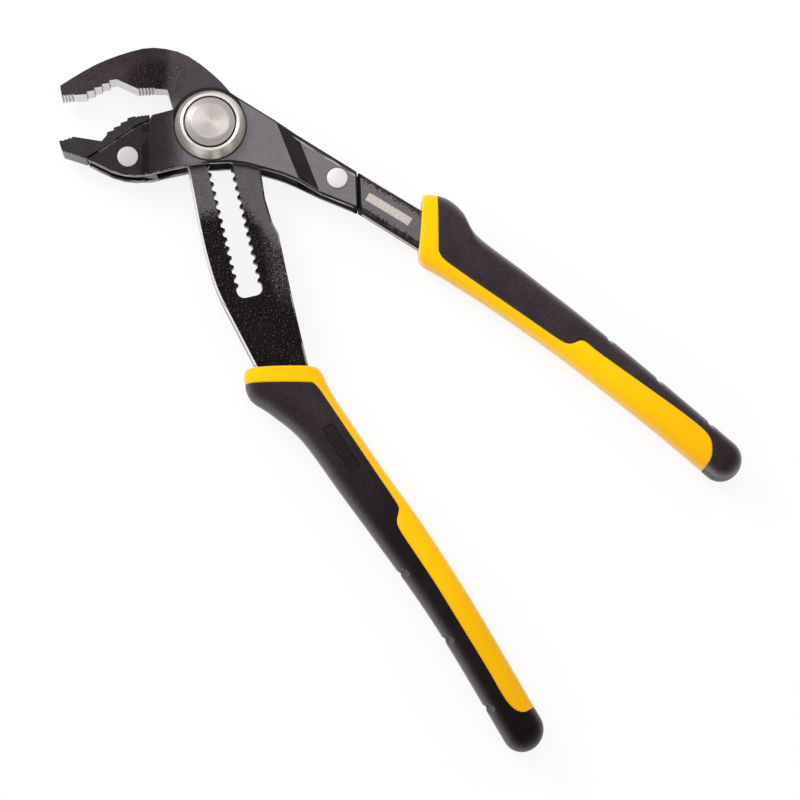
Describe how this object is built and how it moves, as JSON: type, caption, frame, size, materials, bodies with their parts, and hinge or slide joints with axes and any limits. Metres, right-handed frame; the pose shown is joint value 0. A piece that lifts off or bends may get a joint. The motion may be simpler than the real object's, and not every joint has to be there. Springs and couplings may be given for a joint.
{
  "type": "water pump pliers",
  "caption": "Adjustable water pump pliers with hooked toothed jaws, a toothed slot, a push-button pivot lock and two-part moulded grips.",
  "frame": {"origin": "on the pivot axis, in the plane that the rear cap's flat face and the grip collars rest on", "axes": "+Z along the pivot axis out of the button side; -X towards the jaw tips; the handles run towards +X and -Y"},
  "size_m": [0.2636, 0.2738, 0.025],
  "materials": {
    "forged_black": "black phosphated forging, hammered in places",
    "satin_plate": "darkened satin plate",
    "bright_steel": "turned bright steel",
    "grip_yellow": "satin hard plastic",
    "grip_black": "matte soft overmould"
  },
  "bodies": {
    "fixed_lever": {"front_cheek": "satin_plate", "rear_cheek": "satin_plate", "lower_jaw": "forged_black", "handle_shank": "satin_plate", "jaw_rivet": "bright_steel", "shank_rivet": "bright_steel", "button_housing": "bright_steel", "rear_cap": "bright_steel", "upper_grip_core": "grip_yellow", "upper_grip_sleeve": "grip_black"},
    "pivot": {"pivot_guide": "bright_steel", "return_spring": "bright_steel"},
    "slotted_lever": {"slotted_lever": "forged_black", "lower_grip_core": "grip_yellow", "lower_grip_sleeve": "grip_black"},
    "lock_button": {"push_button": "bright_steel", "lock_key": "bright_steel"}
  },
  "joints": [
    {"name": "jaw_pivot", "type": "hinge", "parent": "fixed_lever", "child": "pivot", "pos_m": [0, 0, 0.0105], "axis": [0, 0, 1], "range_deg": [-20, 17]},
    {"name": "jaw_adjust", "type": "slide", "parent": "pivot", "child": "slotted_lever", "axis": [-0.2317, 0.9728, 0], "range_m": [0, 0.05625]},
    {"name": "button_press", "type": "slide", "parent": "pivot", "child": "lock_button", "axis": [0, 0, 1], "range_m": [0, 0.0026], "stiffness_N_per_m": 600, "springref_m": 0.008, "deforming": ["return_spring"]}
  ]
}
